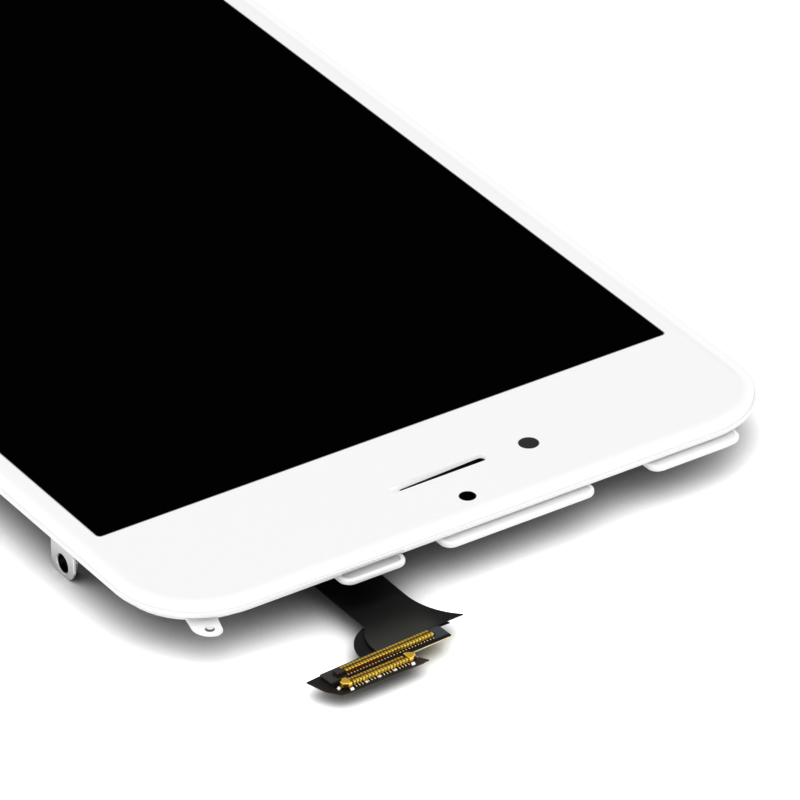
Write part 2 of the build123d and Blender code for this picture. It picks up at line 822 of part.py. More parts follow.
display_stiffener_low = display_flex_low - stiffener_thickness
with BuildPart() as display_stiffener:
    with BuildSketch(board_plane(display_board_centre, display_board_yaw, display_stiffener_low)):
        Rectangle(display_stiffener_length, display_stiffener_width)
    extrude(amount=stiffener_thickness)
write(display_stiffener.part, "display_stiffener")

# Insulating tape over the spread part of the display flex
with BuildPart() as rear_tape:
    with BuildSketch(Plane.XY.offset(tray_low - flex_thickness - tape_thickness)):
        with Locations(((back_x_low + back_x_high) / 2, (back_y_low + fold_start - tail_bend) / 2)):
            RectangleRounded(
                back_x_high - back_x_low - 2 * tape_margin,
                fold_start - tail_bend - back_y_low - 2 * tape_margin,
                tray_corner,
            )
    extrude(amount=tape_thickness)
write(rear_tape.part, "rear_tape")


def row_length(count):
    """Distance between the first and the last contact of a row."""
    return (count - 1) * contact_pitch


def housing_length(count):
    """Whole length of a connector's moulded body."""
    return row_length(count) + 2 * (row_margin + housing_end)


def connector_housing(name, plane, count, block_ends):
    """Moulded ridge that carries two rows of contacts, with solid end blocks."""
    row_end = row_length(count) / 2 + row_margin
    with BuildPart() as housing:
        with BuildSketch(plane):
            for end in (1, -1):
                past_row = housing_end if end in block_ends else plain_end
                with Locations((end * (row_end + past_row) / 2, 0)):
                    Rectangle(row_end + past_row, 2 * ridge_half_width)
        extrude(amount=contact_height - contact_sheet)
        with BuildSketch(plane):
            with Locations(*((end * (row_end + housing_end / 2), 0) for end in block_ends)):
                Rectangle(housing_end, 2 * (ridge_half_width + contact_sheet))
        extrude(amount=contact_height)
    write(housing.part, name)


def connector_contacts(name, plane, count):
    """Two rows of bent strip contacts, the rows half a pitch out of step."""
    outer = ridge_half_width + contact_sheet
    with BuildPart() as contact:
        with BuildSketch(Plane.YZ.offset(-contact_width / 2)):
            with BuildLine():
                Polyline(
                    (outer - contact_top, contact_height - contact_sheet),
                    (outer - contact_top, contact_height),
                    (outer, contact_height),
                    (outer, contact_sheet),
                    (outer + contact_foot, contact_sheet),
                    (outer + contact_foot, 0),
                    (ridge_half_width, 0),
                    (ridge_half_width, contact_height - contact_sheet),
                    close=True,
                )
            make_face()
        extrude(amount=contact_width)
        fillet(
            contact.edges().filter_by(Axis.X).group_by(Axis.Z)[-1].sort_by(Axis.Y)[-1],
            radius=contact_bend,
        )
    near_start = -row_length(count) / 2 - contact_pitch / 4
    far_start = -row_length(count) / 2 + contact_pitch / 4
    with BuildPart() as contacts:
        for index in range(count):
            near = plane * Location((near_start + index * contact_pitch, 0, 0))
            far = plane * Location((far_start + index * contact_pitch, 0, 0), (0, 0, 180))
            add(contact.part.moved(near))
            add(contact.part.moved(far))
    write(contacts.part, name)


touch_plane = board_plane(touch_board_centre, touch_board_yaw, touch_flex_level)
display_plane = board_plane(display_board_centre, display_board_yaw, display_flex_level)
connector_housing("touch_connector_housing", touch_plane, touch_contacts, (1,))
connector_contacts("touch_connector_contacts", touch_plane, touch_contacts)
connector_housing("display_connector_housing", display_plane, display_contacts, (1, -1))
connector_contacts("display_connector_contacts", display_plane, display_contacts)

# Gold plated hold-downs: a cap over each end of the display connector, with
# a leg down each long side and one down the end
for end, end_name in ((1, "right"), (-1, "left")):
    half_width = ridge_half_width + contact_sheet
    cap_outer = housing_length(display_contacts) / 2 + hold_down_past_housing
    with BuildPart() as hold_down:
        with BuildSketch(display_plane.offset(contact_height)):
            with Locations((end * (cap_outer + hold_down_sheet - hold_down_length / 2), 0)):
                Rectangle(hold_down_length, 2 * half_width)
            with Locations((end * (cap_outer + hold_down_sheet - hold_down_length + hold_down_leg / 2), 0)):
                Rectangle(hold_down_leg, 2 * (half_width + hold_down_sheet))
            corner_x = end * (cap_outer + hold_down_sheet)
            corner_y = half_width + hold_down_sheet
            with Locations((corner_x, corner_y), (corner_x, -corner_y)):
                Circle(hold_down_notch, mode=Mode.SUBTRACT)
        extrude(amount=hold_down_sheet)
        cap_edges = hold_down.faces().sort_by(Axis.Z)[-1].edges()
        fillet(cap_edges, radius=min(hold_down_rounding, 0.6 * hold_down_sheet))
        with BuildSketch(display_plane):
            leg_x = end * (cap_outer + hold_down_sheet - hold_down_length + hold_down_leg / 2)
            leg_y = half_width + hold_down_sheet / 2
            with Locations((leg_x, leg_y), (leg_x, -leg_y)):
                Rectangle(hold_down_leg, hold_down_sheet)
            with Locations((end * (cap_outer + hold_down_sheet / 2), 0)):
                Rectangle(hold_down_sheet, hold_down_leg)
        extrude(amount=contact_height)
        with BuildSketch(display_plane):
            foot_y = half_width + hold_down_sheet + hold_down_foot / 2
            with Locations((leg_x, foot_y), (leg_x, -foot_y)):
                Rectangle(hold_down_leg, hold_down_foot)
            with Locations((end * (cap_outer + hold_down_sheet + hold_down_foot / 2), 0)):
                Rectangle(hold_down_foot, hold_down_leg)
        extrude(amount=hold_down_sheet)
    write(hold_down.part, f"hold_down_{end_name}")

# Solder fillets against the feet of the hold-downs that face away from the
# touch flex
with BuildPart() as wedge:
    with BuildSketch(Plane.YZ.offset(-solder_width / 2)):
        Polygon((0, 0), (solder_reach, 0), (0, solder_height), align=None)
    extrude(amount=solder_width)
near_y = ridge_half_width + contact_sheet + hold_down_sheet + hold_down_foot
end_x = housing_length(display_contacts) / 2 + hold_down_past_housing + hold_down_sheet
leg_middle = end_x - hold_down_length + hold_down_leg / 2
solder_places = (
    (leg_middle, near_y, 0),
    (-leg_middle, near_y, 0),
    (end_x + hold_down_foot, 0, -90),
    (-end_x - hold_down_foot, 0, 90),
)
with BuildPart() as solder_joints:
    for x, y, turn in solder_places:
        add(wedge.part.moved(display_plane * Location((x, y, 0), (0, 0, turn))))
write(solder_joints.part, "display_solder_joints")
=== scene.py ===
# %% [markdown]
# # Screen assembly of a slab phone
#
# The solids of the screen come in as a fixed frame: the cover glass, the
# moulded frame with its hooks, the display stack, the backlight and two
# flexible circuits. This lesson puts the camera and the light where the
# photograph had them, gives every piece the finish of the real one, and adds
# the solder that is too fine for the solids.

# %% Load the solids
import bpy
import bmesh
import math
from mathutils import Matrix, Vector


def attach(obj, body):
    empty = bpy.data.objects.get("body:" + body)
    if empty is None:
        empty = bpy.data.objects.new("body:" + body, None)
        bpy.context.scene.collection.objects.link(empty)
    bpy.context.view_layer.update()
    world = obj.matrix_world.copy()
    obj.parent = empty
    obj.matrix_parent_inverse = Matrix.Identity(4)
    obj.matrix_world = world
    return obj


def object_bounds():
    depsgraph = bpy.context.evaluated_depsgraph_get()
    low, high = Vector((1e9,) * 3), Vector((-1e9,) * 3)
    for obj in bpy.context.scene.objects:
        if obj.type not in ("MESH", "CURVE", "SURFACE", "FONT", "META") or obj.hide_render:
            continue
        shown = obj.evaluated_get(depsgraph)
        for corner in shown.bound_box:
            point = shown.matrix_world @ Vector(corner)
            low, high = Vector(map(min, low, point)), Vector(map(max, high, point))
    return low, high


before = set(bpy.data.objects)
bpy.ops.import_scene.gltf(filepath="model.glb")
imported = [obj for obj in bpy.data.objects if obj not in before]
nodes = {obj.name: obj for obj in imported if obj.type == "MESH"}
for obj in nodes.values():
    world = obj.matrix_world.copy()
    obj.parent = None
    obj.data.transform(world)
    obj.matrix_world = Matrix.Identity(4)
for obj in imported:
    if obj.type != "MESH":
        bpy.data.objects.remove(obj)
solids_low, solids_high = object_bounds()
mm = 0.001
micron = 0.000001
print("nodes", len(nodes), "size in mm", [round(v / mm, 2) for v in solids_high - solids_low])

# %% [markdown]
# ## Camera
#
# A long lens well away from the screen gives the flat perspective of a
# catalogue photograph. The place and the turn of the camera come from the
# outline of the glass and the corners of the black display window. Blender
# turns a camera most simply by the direction that it looks back along, and
# then by a small roll about that line.

# %% Camera
camera_place = Vector((0.331488, 0.554175, 0.381392))
camera_azimuth = math.radians(33.552)
camera_elevation = math.radians(32.146)
camera_roll = math.radians(-0.2018)
back = Vector((
    math.sin(camera_azimuth) * math.cos(camera_elevation),
    math.cos(camera_azimuth) * math.cos(camera_elevation),
    math.sin(camera_elevation),
))
camera_data = bpy.data.cameras.new("camera")
camera_data.sensor_width = 36.0
camera_data.lens = 368.425
camera_data.clip_start = 0.05
camera_data.clip_end = 50.0
camera = bpy.data.objects.new("camera", camera_data)
camera.rotation_mode = "QUATERNION"
turned = (-back).to_track_quat("-Z", "Y").to_matrix() @ Matrix.Rotation(camera_roll, 3, "Z")
camera.rotation_quaternion = turned.to_quaternion()
camera.location = camera_place
bpy.context.scene.collection.objects.link(camera)
bpy.context.scene.camera = camera
print("camera looks along", [round(v, 4) for v in -back])

# %% [markdown]
# ## Writing node trees
#
# A material is a small graph. A few helpers keep the graphs readable. The
# first ones add a node and fill its inputs by name, where a value that comes
# from another node is linked, and start a material with one Principled
# shader. A number that is the same all over a surface is set on the shader's
# own input.

# %% Helpers for nodes and materials
def feed(tree, socket, value):
    """Links an input to another node's output, or sets a plain value on it."""
    if isinstance(value, bpy.types.NodeSocket):
        tree.links.new(value, socket)
    else:
        socket.default_value = value


def put(tree, kind, **values):
    """Adds a node. Names with an underscore for each space are its inputs."""
    made = tree.nodes.new(kind)
    for key, value in values.items():
        socket = made.inputs.get(key.replace("_", " "))
        if socket is None:
            setattr(made, key, value)
        else:
            feed(tree, socket, value)
    return made


def start_material(name, **values):
    """A material with one Principled shader, and the object's own coordinates."""
    made = bpy.data.materials.new(name)
    made.use_nodes = True
    tree = made.node_tree
    tree.nodes.clear()
    shader = put(tree, "ShaderNodeBsdfPrincipled", **values)
    put(tree, "ShaderNodeOutputMaterial", Surface=shader.outputs["BSDF"])
    place = put(tree, "ShaderNodeTexCoord").outputs["Object"]
    return made, tree, shader, place


def start_group(name, inputs, outputs):
    """An empty shader node group with named inputs and outputs."""
    tree = bpy.data.node_groups.new(name, "ShaderNodeTree")
    kinds = {"vector": "NodeSocketVector", "value": "NodeSocketFloat", "colour": "NodeSocketColor"}
    for label, kind in inputs.items():
        tree.interface.new_socket(label, in_out="INPUT", socket_type=kinds[kind])
    for label, kind in outputs.items():
        tree.interface.new_socket(label, in_out="OUTPUT", socket_type=kinds[kind])
    return tree, tree.nodes.new("NodeGroupInput").outputs, tree.nodes.new("NodeGroupOutput").inputs


def use_group(tree, group, **values):
    """Places a group in a material, with the material's own values."""
    made = tree.nodes.new("ShaderNodeGroup")
    made.node_tree = group
    for key, value in values.items():
        feed(tree, made.inputs[key.replace("_", " ")], value)
    return made.outputs


print("helpers for nodes ready")

# %% [markdown]
# Masks are built from small steps of arithmetic, so each kind of step has a
# helper too: sums and products of values or of vectors, a straight change and
# a soft step as a value rises, and one colour laid over another.

# %% Helpers for arithmetic
def together(tree, operation, *values):
    """Values combined by one sum, product or the like."""
    made = put(tree, "ShaderNodeMath", operation=operation)
    for socket, value in zip(made.inputs, values):
        feed(tree, socket, value)
    return made.outputs[0]


def between(tree, operation, *vectors):
    """The same for vectors. A length or a dot product comes out as one value."""
    made = put(tree, "ShaderNodeVectorMath", operation=operation)
    for socket, vector in zip(made.inputs, vectors):
        feed(tree, socket, vector)
    return made.outputs["Value" if operation in ("LENGTH", "DOT_PRODUCT") else "Vector"]


def times(tree, colour, factor):
    """A colour or a vector times one value."""
    return put(tree, "ShaderNodeVectorMath", operation="SCALE", Vector=colour, Scale=factor).outputs["Vector"]


def ramp(tree, value, low, high, at_low, at_high):
    """A straight change from one value to another as a third goes from low to high."""
    made = put(
        tree, "ShaderNodeMapRange", Value=value, From_Min=low, From_Max=high, To_Min=at_low, To_Max=at_high
    )
    return made.outputs[0]


def shade_in(tree, value, low, high):
    """A soft step from 0 to 1 as a value goes from low to high. Low may be the larger."""
    rising = low < high
    step = put(
        tree, "ShaderNodeMapRange", interpolation_type="SMOOTHSTEP", Value=value,
        From_Min=min(low, high), From_Max=max(low, high),
        To_Min=0.0 if rising else 1.0, To_Max=1.0 if rising else 0.0,
    )
    return step.outputs[0]


def blend(tree, factor, under, over, blend_type="MIX"):
    """One colour over another, by a mask."""
    made = put(tree, "ShaderNodeMix", data_type="RGBA", blend_type=blend_type)
    for socket, value in ((made.inputs["Factor"], factor), (made.inputs[6], under), (made.inputs[7], over)):
        feed(tree, socket, value)
    return made.outputs[2]


print("helpers for arithmetic ready")

# %% [markdown]
# ## Effects that several finishes share
#
# No real surface is one flat colour. Moulded plastic and film have a fine
# cloudy grain, rolled steel and prism film have fine lines along one
# direction, and both vary a little in gloss. Each effect is one node group
# that gives a colour, a roughness and a height, so that every finish can use
# it with its own scale and strength.

# %% Group for a cloudy grain
grain, given, result = start_group(
    "cloudy grain",
    {"Vector": "vector", "Scale": "value", "Colour": "colour", "Shade": "value",
     "Roughness": "value", "Spread": "value"},
    {"Colour": "colour", "Roughness": "value", "Height": "value"},
)
noise = put(grain, "ShaderNodeTexNoise", Vector=given["Vector"], Scale=given["Scale"], Detail=3.0)
cloud = noise.outputs["Fac"]
centred = together(grain, "SUBTRACT", cloud, 0.5)
shade = together(grain, "MULTIPLY_ADD", centred, given["Shade"], 1.0)
gloss = together(grain, "MULTIPLY_ADD", centred, given["Spread"], given["Roughness"])
grain.links.new(times(grain, given["Colour"], shade), result["Colour"])
grain.links.new(gloss, result["Roughness"])
grain.links.new(cloud, result["Height"])
print("group", grain.name)

# %% Group for lines along one direction
lines, given, result = start_group(
    "drawn lines",
    {"Vector": "vector", "Stretch": "vector", "Colour": "colour", "Shade": "value",
     "Roughness": "value", "Spread": "value"},
    {"Colour": "colour", "Roughness": "value", "Height": "value"},
)
pulled = between(lines, "MULTIPLY", given["Vector"], given["Stretch"])
cloudy = use_group(
    lines, grain, Vector=pulled, Scale=1.0, Colour=given["Colour"],
    Shade=given["Shade"], Roughness=given["Roughness"], Spread=given["Spread"],
)
for label in ("Colour", "Roughness", "Height"):
    lines.links.new(cloudy[label], result[label])
print("group", lines.name)

# %% [markdown]
# Windows, slots and pads are shapes with rounded corners, seen from above.
# One group measures how far a point is inside such a shape, and turns that
# into a mask with a soft edge a few hundredths of a millimetre wide. Two
# helpers place the group, the second for round shapes.

# %% Group for a rounded window
window, given, result = start_group(
    "rounded window",
    {"Vector": "vector", "Centre": "vector", "Half Size": "vector", "Corner": "value", "Soft": "value"},
    {"Mask": "value"},
)
folded = between(window, "ABSOLUTE", between(window, "SUBTRACT", given["Vector"], given["Centre"]))
past_size = between(window, "SUBTRACT", folded, given["Half Size"])
beyond = put(window, "ShaderNodeSeparateXYZ", Vector=past_size).outputs
sides = [together(window, "ADD", beyond[axis], given["Corner"]) for axis in ("X", "Y")]
outside = [together(window, "MAXIMUM", side, 0.0) for side in sides]
corner_point = put(window, "ShaderNodeCombineXYZ", X=outside[0], Y=outside[1]).outputs[0]
inside = together(window, "MINIMUM", together(window, "MAXIMUM", *sides), 0.0)
distance = together(window, "ADD", between(window, "LENGTH", corner_point), inside)
past_edge = together(window, "SUBTRACT", distance, given["Corner"])
share = together(window, "DIVIDE", past_edge, given["Soft"])
window.links.new(ramp(window, share, -0.5, 0.5, 1.0, 0.0), result["Mask"])


def window_mask(tree, place, centre, half_size, corner, soft):
    """The mask of a rounded window. Its sizes are in millimetres."""
    return use_group(
        tree, window, Vector=place, Centre=(centre[0] * mm, centre[1] * mm, 0),
        Half_Size=(half_size[0] * mm, half_size[1] * mm, 0), Corner=corner * mm, Soft=soft * mm,
    )["Mask"]


def disc_mask(tree, place, centre, radius, soft):
    """The mask of a round window. Its sizes are in millimetres."""
    return window_mask(tree, place, centre, (radius, radius), radius, soft)


print("group", window.name)

# %% [markdown]
# The earpiece slot is a trough in white glass. The camera looks into it at a
# slant and sees its far wall. Above a line that drops to one side the wall is
# painted white with a glow, painted light on a wall that lies in shade, and
# below the line it is painted black for the foam and its painted shade. The
# next group finds the black part and the painted light. Clear glass over white
# ink would show this by itself, but only with many traced rays, so a mask does
# it. The glass, the ink and the gasket use the same group, and the line runs on
# from piece to piece.

# %% Group for the slot's painted light and painted shade
slot_y = 60.16
slot_half_size = (4.98, 0.515)
foam_and_shade_middle_x = -0.74
foam_and_shade_half_size = (4.30, 2.0)
foam_and_shade_line = {"Low": -0.465 * mm, "Slope": -0.037}
wedge, given, result = start_group(
    "slot wedge", {"Vector": "vector", "Low": "value", "Slope": "value"}, {"Dark": "value", "Painted Light": "value"}
)
spot = put(wedge, "ShaderNodeSeparateXYZ", Vector=given["Vector"]).outputs
line = together(wedge, "MULTIPLY_ADD", spot["X"], given["Slope"], given["Low"])
below_line = ramp(wedge, together(wedge, "SUBTRACT", spot["Z"], line), -0.03 * mm, 0.03 * mm, 1.0, 0.0)
along = window_mask(wedge, given["Vector"], (foam_and_shade_middle_x, slot_y), foam_and_shade_half_size, 0.0, 0.25)
dark = together(wedge, "MULTIPLY", below_line, along)
in_slot = window_mask(wedge, given["Vector"], (0, slot_y), slot_half_size, slot_half_size[1], 0.01)
deep = ramp(wedge, spot["Z"], -0.05 * mm, -0.01 * mm, 1.0, 0.0)
wall = together(wedge, "MULTIPLY", in_slot, deep)
# One output paints black for the foam and its painted shade, the other is painted light: white and a glow on
# the wall in shade.
wedge.links.new(dark, result["Dark"])
wedge.links.new(together(wedge, "MULTIPLY", wall, together(wedge, "SUBTRACT", 1.0, dark)), result["Painted Light"])
print("group", wedge.name)

# %% [markdown]
# ## One call for the plain finishes
#
# Most pieces are plastic, film or metal with one grain. The first helper
# leads a colour, a roughness and a shallow bump to a shader, and the second
# makes a whole finish from one group. Lengths are in metres here, so a bump
# of a micron is written as a micron. The last helper gives a finish to
# pieces.

# %% Helpers for plain finishes
def surface(tree, shader, colour, roughness, height, depth):
    """Leads a colour, a roughness and a bump to the shader."""
    bump = put(tree, "ShaderNodeBump", Height=height, Strength=1.0, Distance=depth)
    tree.links.new(colour, shader.inputs["Base Color"])
    tree.links.new(roughness, shader.inputs["Roughness"])
    tree.links.new(bump.outputs["Normal"], shader.inputs["Normal"])
    return bump


def plain_finish(name, group, colour, roughness, shade, depth, **values):
    """A finish from one grain group. Other values than the group's go to the shader."""
    group_values = {key: values.pop(key) for key in ("Scale", "Stretch", "Spread") if key in values}
    made, tree, shader, place = start_material(name, **values)
    out = use_group(
        tree, group, Vector=place, Colour=(*colour, 1.0), Shade=shade, Roughness=roughness, **group_values
    )
    surface(tree, shader, out["Colour"], out["Roughness"], out["Height"], depth)
    return made


def dress(finish, *names):
    """Gives a finish to CAD nodes."""
    for name in names:
        for place in nodes[name].material_slots:
            place.material = finish
    print(finish.name, "on", ", ".join(names))


# %% [markdown]
# ## Cover glass
#
# The real glass is clear, with a white ink border behind it and the black
# display behind the open window. Traced rays that pass clear glass onto white
# ink are noisy and come out too dark, so the glass is given the look that it
# has from outside: a hard glossy surface, white over the border and black
# over the display and sensor windows, each with its own rounded mask. The
# camera window is dark grey, for its black ring and the painted shade of the
# pocket behind it. The white walls of the slot get a painted glow, painted
# light on walls that lie in shade, and the lower part of the slot is painted
# black for the foam and its painted shade.

# %% Cover glass
white_ink = (0.955, 0.955, 0.955, 1.0)
display_black = (0.0006, 0.0006, 0.0007, 1.0)
painted_camera_window_shade = (0.032, 0.032, 0.033, 1.0)
display_half_size = (29.65, 52.40)
display_corner = 0.45
camera_centre = (-9.33, 60.45)
camera_radius = 0.93
sensor_centre = (-0.17, 64.53)
sensor_radius = 0.77
painted_slot_glow = 0.24


def paint_glow_in_slot(tree, shader, painted_light):
    """Gives the white walls of the slot a painted glow: painted light on walls in shade."""
    tree.links.new(times(tree, (1.0, 1.0, 1.0), painted_light), shader.inputs["Emission Color"])
    shader.inputs["Emission Strength"].default_value = painted_slot_glow


glass_finish, tree, shader, place = start_material("cover glass over ink", IOR=1.5)
ink = use_group(
    tree, grain, Vector=place, Scale=9000.0, Colour=white_ink, Shade=0.006, Roughness=0.05, Spread=0.02
)
# Painted light and shade in the slot: white walls with a glow, and black below the line.
slot = use_group(tree, wedge, Vector=place, **foam_and_shade_line)
look = ink["Colour"]
for mask, colour in (
    (window_mask(tree, place, (0, 0), display_half_size, display_corner, 0.16), display_black),
    # Painted shade: the dark grey of the camera window stands for its ring and the shaded pocket behind it.
    (disc_mask(tree, place, camera_centre, camera_radius, 0.08), painted_camera_window_shade),
    (disc_mask(tree, place, sensor_centre, sensor_radius, 0.08), display_black),
    (slot["Dark"], display_black),
):
    look = blend(tree, mask, look, colour)
tree.links.new(look, shader.inputs["Base Color"])
tree.links.new(ink["Roughness"], shader.inputs["Roughness"])
paint_glow_in_slot(tree, shader, slot["Painted Light"])
dress(glass_finish, "cover_glass")

# %% [markdown]
# ## Border print and window ink
#
# The ink behind the glass shows through the button hole, along the earpiece
# slot and in the pockets behind the border. It is a dense white with the
# faint mesh of the screen that it was printed through. Inside the slot it
# carries on the painted look of the slot's wall: painted white with a glow,
# as painted light, above the line, and black below it for the foam and its
# painted shade. The gasket further on does the same. The ink in the sensor's
# window is dark. The print could be an image on unwrapped faces, but a mask on
# the coordinates needs no unwrapping and has no pixels.

# %% Inks
def slot_finish(name, open_colour, roughness, shade, depth, scale):
    """A finish that turns inside the slot to painted white with a glow, as painted light, and to black for
    the foam and its painted shade.
    """
    made, tree, shader, place = start_material(name)
    out = use_group(
        tree, grain, Vector=place, Scale=scale, Colour=(*open_colour, 1.0), Shade=shade,
        Roughness=roughness, Spread=0.12,
    )
    # Painted light and shade inside the slot: white and a glow above the line, black below it.
    slot = use_group(tree, wedge, Vector=place, **foam_and_shade_line)
    look = blend(tree, slot["Painted Light"], out["Colour"], white_ink)
    look = blend(tree, slot["Dark"], look, display_black)
    surface(tree, shader, look, out["Roughness"], out["Height"], depth)
    paint_glow_in_slot(tree, shader, slot["Painted Light"])
    return made


border_finish = slot_finish("white border ink", (0.90, 0.90, 0.90), 0.38, 0.03, 0.8 * micron, 9000.0)
window_finish = plain_finish(
    "dark window ink", grain, (0.006, 0.006, 0.007), 0.30, 0.4, 0.5 * micron, Scale=7000.0, Spread=0.1
)
dress(border_finish, "border_print")
dress(window_finish, "sensor_window")

# %% [markdown]
# ## Moulded frame
#
# The frame is white moulded plastic with a satin skin. The grooves of the
# hooks, which the rim hangs over, get a grey painted shade, most in the first
# hook, and one edge of the round mark that a mould pin left in the small hook
# gets a dark painted shade. The light alone would give such greys under a
# single lamp, but here it comes from all sides, so two masks paint them: a
# rounded window as large as the rim, and a disc from which a second disc
# takes all but a crescent.

# %% Moulded frame and backlight ring
rim_half_size = (32.66, 68.08)
rim_corner = 8.5
painted_groove_shade = (0.42, 0.42, 0.42, 1.0)
painted_crescent_shade = (0.06, 0.06, 0.06, 1.0)
mark_centre = (28.18, 67.76)
mark_radius = 0.42
bare_floor_centre = (27.88, 67.32)
bare_floor_radius = 0.40

frame_finish, tree, shader, place = start_material("white moulded plastic")
skin = use_group(
    tree, grain, Vector=place, Scale=5200.0, Colour=(0.95, 0.95, 0.95, 1.0), Shade=0.02,
    Roughness=0.34, Spread=0.14,
)
spot = put(tree, "ShaderNodeSeparateXYZ", Vector=place).outputs
# Painted shade: grey in the hook grooves beside the rim, and a dark crescent in the pin mark.
beside_rim = window_mask(tree, place, (0, 0), rim_half_size, rim_corner, 0.5)
on_hooks = shade_in(tree, spot["Z"], -1.06 * mm, -1.12 * mm)
first_hook = together(
    tree, "MULTIPLY", shade_in(tree, spot["X"], 8.2 * mm, 8.8 * mm),
    shade_in(tree, spot["X"], 15.4 * mm, 14.8 * mm),
)
groove_shade_strength = ramp(tree, first_hook, 0.0, 1.0, 0.10, 0.32)
groove_shade = together(tree, "MULTIPLY", together(tree, "MULTIPLY", beside_rim, on_hooks), groove_shade_strength)
crescent = together(
    tree, "SUBTRACT", disc_mask(tree, place, mark_centre, mark_radius, 0.06),
    disc_mask(tree, place, bare_floor_centre, bare_floor_radius, 0.10),
)
crescent = together(tree, "MAXIMUM", together(tree, "MULTIPLY", crescent, on_hooks), 0.0)
painted_shade_look = blend(tree, crescent, blend(tree, groove_shade, skin["Colour"], painted_groove_shade), painted_crescent_shade)
surface(tree, shader, painted_shade_look, skin["Roughness"], skin["Height"], 1.5 * micron)
ring_finish = plain_finish(
    "white moulded ring", grain, (0.86, 0.87, 0.88), 0.45, 0.03, 2.0 * micron, Scale=4200.0, Spread=0.12
)
bond_finish = plain_finish(
    "pale bonding strip", grain, (0.66, 0.66, 0.64), 0.60, 0.10, 4.0 * micron, Scale=2600.0, Spread=0.2
)
dress(frame_finish, "bezel_frame")
dress(ring_finish, "backlight_frame")
dress(bond_finish, "frame_bond")

# %% [markdown]
# ## Side brackets and the tray
#
# The brackets and the tray are pressed from rolled stainless sheet. Rolling
# leaves fine lines along the sheet, which spread a highlight across them.
# The threads in the ears are painted dark, a painted shade of the deep hole.
# A modelled helix would be finer than a pixel, so bands of two dark tones
# stand for it. The ears repeat along the side, so the distance along the
# side is wrapped to one ear, and a mask takes the points that are no farther
# from the hole's axis than the thread is. The cut edge on one side of each
# ear is painted pale, a painted highlight, and is less glossy.

# %% Side brackets
ear_pitch = 49.55 * mm
hole_level = -3.49 * mm
painted_edge_highlight = (0.95, 0.95, 0.95, 1.0)
edge_dulling = 0.35

bracket_finish, tree, shader, place = start_material("rolled bracket steel", Metallic=1.0)
rolled = use_group(
    tree, lines, Vector=place, Stretch=(9000.0, 500.0, 9000.0), Colour=(0.56, 0.56, 0.57, 1.0), Shade=0.18,
    Roughness=0.30, Spread=0.18,
)
spot = put(tree, "ShaderNodeSeparateXYZ", Vector=place).outputs
from_ear = together(tree, "WRAP", spot["Y"], ear_pitch / 2, -ear_pitch / 2)
from_hole = together(tree, "SUBTRACT", spot["Z"], hole_level)
across_hole = put(tree, "ShaderNodeCombineXYZ", X=from_ear, Y=from_hole).outputs[0]
# Painted shade: the bore is painted dark, in bands that stand for the thread.
bore = ramp(tree, between(tree, "LENGTH", across_hole), 0.86 * mm, 0.92 * mm, 1.0, 0.0)
thread = put(tree, "ShaderNodeTexWave", wave_type="BANDS", bands_direction="X", Vector=place, Scale=1050.0)
painted_bore_shade = blend(tree, thread.outputs["Fac"], (0.006, 0.006, 0.006, 1.0), (0.050, 0.048, 0.045, 1.0))
steel = blend(tree, bore, rolled["Colour"], painted_bore_shade)
# Painted highlight: a pale strip on one edge of each ear.
painted_highlight_strip = together(
    tree, "MULTIPLY", shade_in(tree, from_ear, 1.79 * mm, 1.84 * mm),
    shade_in(tree, spot["Z"], -1.9 * mm, -2.1 * mm),
)
steel = blend(tree, painted_highlight_strip, steel, painted_edge_highlight)
dulled = together(tree, "MULTIPLY_ADD", painted_highlight_strip, edge_dulling, rolled["Roughness"])
surface(tree, shader, steel, dulled, rolled["Height"], 1.2 * micron)
dress(bracket_finish, *(name for name in sorted(nodes) if name.endswith("_bracket")))

# %% Tray, mesh and stiffeners
tray_finish = plain_finish(
    "rolled tray steel", lines, (0.62, 0.62, 0.63), 0.26, 0.10, 0.8 * micron,
    Stretch=(7000.0, 220.0, 7000.0), Spread=0.14, Metallic=1.0,
)
mesh_finish = plain_finish(
    "woven mesh steel", lines, (0.40, 0.40, 0.40), 0.40, 0.12, 1.0 * micron,
    Stretch=(700.0, 9000.0, 9000.0), Spread=0.14, Metallic=1.0,
)
board_finish = plain_finish(
    "dark stiffener board", grain, (0.050, 0.038, 0.018), 0.45, 0.3, 1.5 * micron, Scale=3200.0, Spread=0.15
)
amber_finish, tree, shader, place = start_material("amber stiffener film")
film = use_group(
    tree, grain, Vector=place, Scale=3000.0, Colour=(0.80, 0.70, 0.36, 1.0), Shade=0.25,
    Roughness=0.35, Spread=0.12,
)
inked = shade_in(tree, put(tree, "ShaderNodeSeparateXYZ", Vector=place).outputs["X"], 14.4 * mm, 14.9 * mm)
tree.links.new(blend(tree, inked, film["Colour"], (0.012, 0.010, 0.008, 1.0)), shader.inputs["Base Color"])
tree.links.new(film["Roughness"], shader.inputs["Roughness"])
dress(tray_finish, "backlight_tray")
dress(mesh_finish, "earpiece_mesh")
dress(board_finish, "display_stiffener")
dress(amber_finish, "touch_stiffener")

# %% [markdown]
# ## Layers inside the display
#
# The layers between the glass and the tray only show at their edges, but each
# has the finish of its real material: clear adhesive and panel glass, black
# polarizer film, prism film with fine ridges, and a light guide. No light is
# traced through them, because all of them lie behind black, so each is one
# call of the plain finish.

